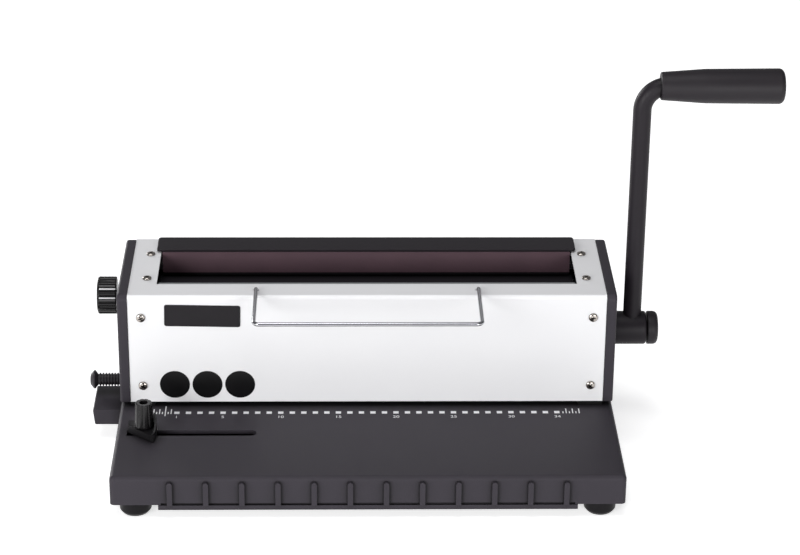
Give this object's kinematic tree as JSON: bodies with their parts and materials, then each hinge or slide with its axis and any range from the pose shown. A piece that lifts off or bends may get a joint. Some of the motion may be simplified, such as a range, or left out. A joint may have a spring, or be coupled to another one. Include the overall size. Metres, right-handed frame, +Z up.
{
  "type": "wire binding machine",
  "caption": "Desk machine that punches a row of square holes along a paper edge and closes wire combs in a top trough, both worked by one side lever.",
  "frame": {"origin": "on the table under the middle of the whole machine, knobs and lever grip included", "axes": "+X to the user's right, along the row of holes; +Y away from the user; +Z up"},
  "size_m": [0.5082, 0.2154, 0.2776],
  "materials": {
    "charcoal_moulding": "fine textured moulding",
    "silver_sheet": "satin silver-white powder coat",
    "charcoal_sheet": "satin charcoal powder coat",
    "frame_steel": "zinc plated sheet and bar",
    "tool_steel": "ground tool steel",
    "spring_steel": "oiled spring wire",
    "bronze": "sintered bronze",
    "chrome_wire": "bright chrome plate",
    "plated_screw": "bright nickel plate",
    "black_knob": "black moulded plastic, half gloss",
    "grip_black": "soft black moulding",
    "stop_nylon": "natural nylon",
    "magnet_brown": "flexible magnet strip, matt brown",
    "foot_rubber": "black rubber"
  },
  "bodies": {
    "machine": {"base": "charcoal_moulding", "side_cover_left": "charcoal_moulding", "side_cover_right": "charcoal_moulding", "front_cover": "silver_sheet", "rear_cover": "charcoal_sheet", "bottom_plate": "charcoal_sheet", "trough_floor": "charcoal_sheet", "throat_spacers": "charcoal_sheet", "side_frame_left": "frame_steel", "side_frame_right": "frame_steel", "tie_bar_front": "frame_steel", "tie_bar_rear": "frame_steel", "rod_supports": "frame_steel", "frame_bolts": "frame_steel", "anvil_bar": "frame_steel", "die_plate": "tool_steel", "guide_plate": "tool_steel", "guide_posts": "tool_steel", "closer_rods": "tool_steel", "return_spring_left": "spring_steel", "return_spring_right": "spring_steel", "shaft_bushes": "bronze", "dial_bush": "bronze", "cover_screws": "plated_screw", "rear_cover_screws": "plated_screw", "foot_screws": "plated_screw", "margin_bearings": "stop_nylon", "rubber_feet": "foot_rubber"},
    "lever": {"drive_shaft": "tool_steel", "closer_gear_left": "tool_steel", "closer_gear_right": "tool_steel", "gear_pins": "tool_steel", "stop_arm": "tool_steel", "lever_hub": "charcoal_sheet", "hub_pin": "tool_steel", "lever_rod": "charcoal_sheet", "lever_grip": "grip_black", "end_cap": "grip_black"},
    "punch_carriage": {"punch_bar": "tool_steel", "punch_pins": "tool_steel", "punch_rack_left": "tool_steel", "punch_rack_right": "tool_steel"},
    "press_carriage": {"press_bar": "charcoal_sheet", "magnet_strip": "magnet_brown", "closer_slide_left": "tool_steel", "closer_slide_right": "tool_steel"},
    "size_dial": {"dial_knob": "black_knob", "dial_shaft": "tool_steel", "size_cam": "tool_steel"},
    "margin_stop": {"margin_knob": "black_knob", "margin_shaft": "tool_steel", "margin_stops": "stop_nylon"},
    "tray": {"chip_tray": "charcoal_moulding"},
    "edge_guide": {"paper_guide": "charcoal_moulding", "guide_slider": "charcoal_moulding"},
    "clamp_knob": {"guide_knob": "black_knob"},
    "rack": {"wire_rack": "chrome_wire"}
  },
  "joints": [
    {"name": "lever_turn", "type": "hinge", "parent": "machine", "child": "lever", "pos_m": [0.13595, 0.0556, 0.0713], "axis": [1, 0, 0], "range_deg": [0, 90], "stiffness_Nm_per_rad": 0.49, "springref_deg": -25.21},
    {"name": "punch_slide", "type": "slide", "parent": "machine", "child": "punch_carriage", "axis": [0, 0, -1], "range_m": [0, 0.0142], "deforming": ["return_spring_left", "return_spring_right"]},
    {"name": "press_slide", "type": "slide", "parent": "machine", "child": "press_carriage", "axis": [0, -1, 0], "range_m": [0, 0.044]},
    {"name": "dial_turn", "type": "hinge", "parent": "machine", "child": "size_dial", "pos_m": [-0.23705, 0.0736, 0.09], "axis": [-1, 0, 0], "range_deg": [0, 280]},
    {"name": "margin_turn", "type": "hinge", "parent": "machine", "child": "margin_stop", "pos_m": [-0.23705, 0.0416, 0.0353], "axis": [-1, 0, 0], "range_deg": [0, 180]},
    {"name": "tray_pull", "type": "slide", "parent": "machine", "child": "tray", "axis": [-1, 0, 0], "range_m": [0, 0.3]},
    {"name": "guide_slide", "type": "slide", "parent": "machine", "child": "edge_guide", "axis": [1, 0, 0], "range_m": [-0.0065, 0.07]},
    {"name": "guide_clamp", "type": "hinge", "parent": "edge_guide", "child": "clamp_knob", "pos_m": [-0.20825, -0.0389, 0.05], "axis": [0, 0, 1], "range_deg": [0, 180]},
    {"name": "rack_lift", "type": "slide", "parent": "machine", "child": "rack", "axis": [0, 0, 1], "range_m": [0, 0.025]}
  ],
  "couplings": [
    {"joint": "punch_slide", "follows": "lever_turn", "m_per_rad": 0.009},
    {"joint": "press_slide", "follows": "lever_turn", "m_per_rad": 0.028}
  ]
}
